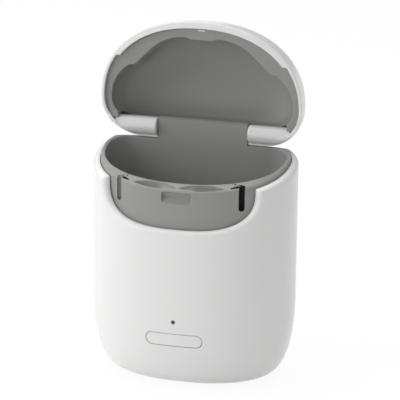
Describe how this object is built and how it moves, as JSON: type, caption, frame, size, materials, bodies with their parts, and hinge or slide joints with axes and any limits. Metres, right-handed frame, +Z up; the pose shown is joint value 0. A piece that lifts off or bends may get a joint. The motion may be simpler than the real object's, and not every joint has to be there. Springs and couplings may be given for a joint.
{
  "type": "hearing aid charging case",
  "caption": "Upright D-shaped pocket case with a flip-up lid on a rear hinge, a lined lid, a tray with wire slots and charging seats, and a front button.",
  "frame": {"origin": "on the underside of the foot pad, below the widest line of the case, on its middle plane", "axes": "+X to the case's right as seen from the front, -Y to the front, +Z up; the lid is stored open"},
  "size_m": [0.074, 0.0554, 0.127],
  "materials": {
    "white_shell": "glossy moulded white",
    "grey_liner": "fine matte grey",
    "foot": "matte rubber",
    "chassis": "matte black",
    "cell": "foil pouch",
    "pad": "foam",
    "board": "solder mask green",
    "steel": "plain steel",
    "switch": "matte black",
    "lamp": "clear resin",
    "light_pipe": "smoked clear",
    "contact": "gold plated"
  },
  "bodies": {
    "case": {"body_shell": "white_shell", "foot_pad": "foot", "chassis": "chassis", "battery_cell": "cell", "battery_pad": "pad", "main_board": "board", "usb_socket": "steel", "button_board": "board", "tact_switch": "switch", "status_led": "lamp", "light_pipe": "light_pipe", "tray": "grey_liner", "seat_insert": "grey_liner", "contact_board": "board", "contacts_left": "contact", "contacts_right": "contact", "hinge_pin": "steel", "tray_screws": "steel", "base_screws": "steel"},
    "lid": {"lid_shell": "white_shell", "lid_liner": "grey_liner", "lid_magnet": "steel"},
    "button": {"power_button": "white_shell", "switch_plunger": "switch"}
  },
  "joints": [
    {"name": "lid_hinge", "type": "hinge", "parent": "case", "child": "lid", "pos_m": [0, 0.0096, 0.0862], "axis": [1, 0, 0], "range_deg": [0, 100]},
    {"name": "button_press", "type": "slide", "parent": "case", "child": "button", "axis": [0, 1, 0], "range_m": [0, 0.0005], "stiffness_N_per_m": 400, "springref_m": -0.0005}
  ]
}
